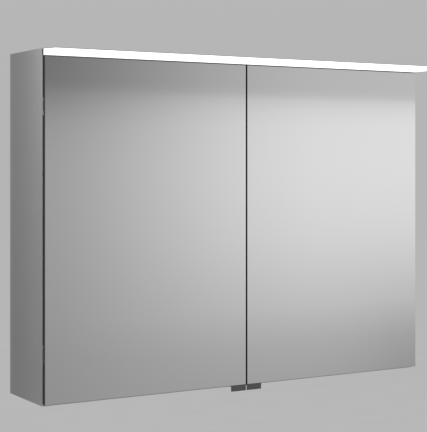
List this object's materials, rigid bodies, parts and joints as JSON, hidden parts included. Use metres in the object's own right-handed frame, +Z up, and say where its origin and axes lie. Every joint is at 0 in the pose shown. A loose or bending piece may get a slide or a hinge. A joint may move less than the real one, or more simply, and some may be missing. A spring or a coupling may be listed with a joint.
{
  "type": "medicine cabinet with mirror",
  "caption": "Wall-hung bathroom mirror cabinet with two hinged mirror doors, glass shelves, a slim full-width light on top and a socket and switch inside",
  "frame": {"origin": "on the wall plane, midway between the two wall screw holes", "axes": "+X runs to the right as seen from the front, +Y points into the wall, +Z points up; the doors face -Y"},
  "size_m": [0.9, 0.226, 0.6886],
  "materials": {
    "panel_lacquer": "satin pale grey lacquer on board",
    "rail_wood": "plain sawn softwood",
    "zinc": "zinc plated",
    "white_plastic": "fine matt",
    "socket_plastic": "smooth",
    "rocker_plastic": "smooth",
    "shelf_glass": "clear float glass, polished edges",
    "nickel": "satin nickel",
    "hinge_metal": "black nickel",
    "profile_metal": "dark anodised",
    "bumper": "clear elastomer",
    "aluminium": "satin anodised",
    "opal": "opal acrylic, lit from inside",
    "led_board": "white solder mask",
    "led": "phosphor",
    "wire": "soft black sheath",
    "brass_contact": "plain",
    "mirror": "silvered float glass",
    "inner_mirror": "silvered float glass",
    "door_core": "dark core board",
    "handle_metal": "satin dark metal"
  },
  "bodies": {
    "cabinet": {"left_side_panel": "panel_lacquer", "right_side_panel": "panel_lacquer", "top_panel": "panel_lacquer", "bottom_panel": "panel_lacquer", "centre_partition": "panel_lacquer", "back_panel": "panel_lacquer", "hanging_rail": "rail_wood", "spacer_rail": "rail_wood", "cam_connectors": "zinc", "dowels": "rail_wood", "screw_caps": "white_plastic", "left_lower_shelf": "shelf_glass", "left_upper_shelf": "shelf_glass", "right_lower_shelf": "shelf_glass", "right_upper_shelf": "shelf_glass", "shelf_pins": "nickel", "door_bumpers": "bumper", "catch_magnets": "zinc", "left_lower_hinge_arm": "hinge_metal", "left_upper_hinge_arm": "hinge_metal", "right_lower_hinge_arm": "hinge_metal", "right_upper_hinge_arm": "hinge_metal", "hinge_pins": "nickel", "hinge_screws": "nickel", "light_profile": "profile_metal", "light_cover": "aluminium", "light_diffuser": "opal", "led_board": "led_board", "leds": "led", "light_screws": "nickel", "led_wire": "wire", "wire_cover": "white_plastic", "power_box": "white_plastic", "power_plate": "white_plastic", "socket_insert": "socket_plastic", "earth_clips": "brass_contact", "switch_frame": "white_plastic", "led_driver": "white_plastic", "cable_sleeve": "wire"},
    "left_door": {"left_mirror": "mirror", "left_core": "door_core", "left_inner_mirror": "inner_mirror", "left_handle": "handle_metal", "left_strike_plates": "nickel", "left_lower_hinge_wing": "hinge_metal", "left_upper_hinge_wing": "hinge_metal", "left_wing_screws": "nickel"},
    "right_door": {"right_mirror": "mirror", "right_core": "door_core", "right_inner_mirror": "inner_mirror", "right_handle": "handle_metal", "right_strike_plates": "nickel", "right_lower_hinge_wing": "hinge_metal", "right_upper_hinge_wing": "hinge_metal", "right_wing_screws": "nickel"},
    "rocker": {"rocker": "rocker_plastic"}
  },
  "joints": [
    {"name": "left_door_hinge", "type": "hinge", "parent": "cabinet", "child": "left_door", "pos_m": [-0.4465, -0.1675, -0.30555], "axis": [0, 0, -1], "range_deg": [0, 110]},
    {"name": "right_door_hinge", "type": "hinge", "parent": "cabinet", "child": "right_door", "pos_m": [0.4465, -0.1675, -0.30555], "axis": [0, 0, 1], "range_deg": [0, 110]},
    {"name": "rocker_tilt", "type": "hinge", "parent": "cabinet", "child": "rocker", "pos_m": [0.114, -0.07, -0.008], "axis": [1, 0, 0], "range_deg": [0, 12]}
  ]
}
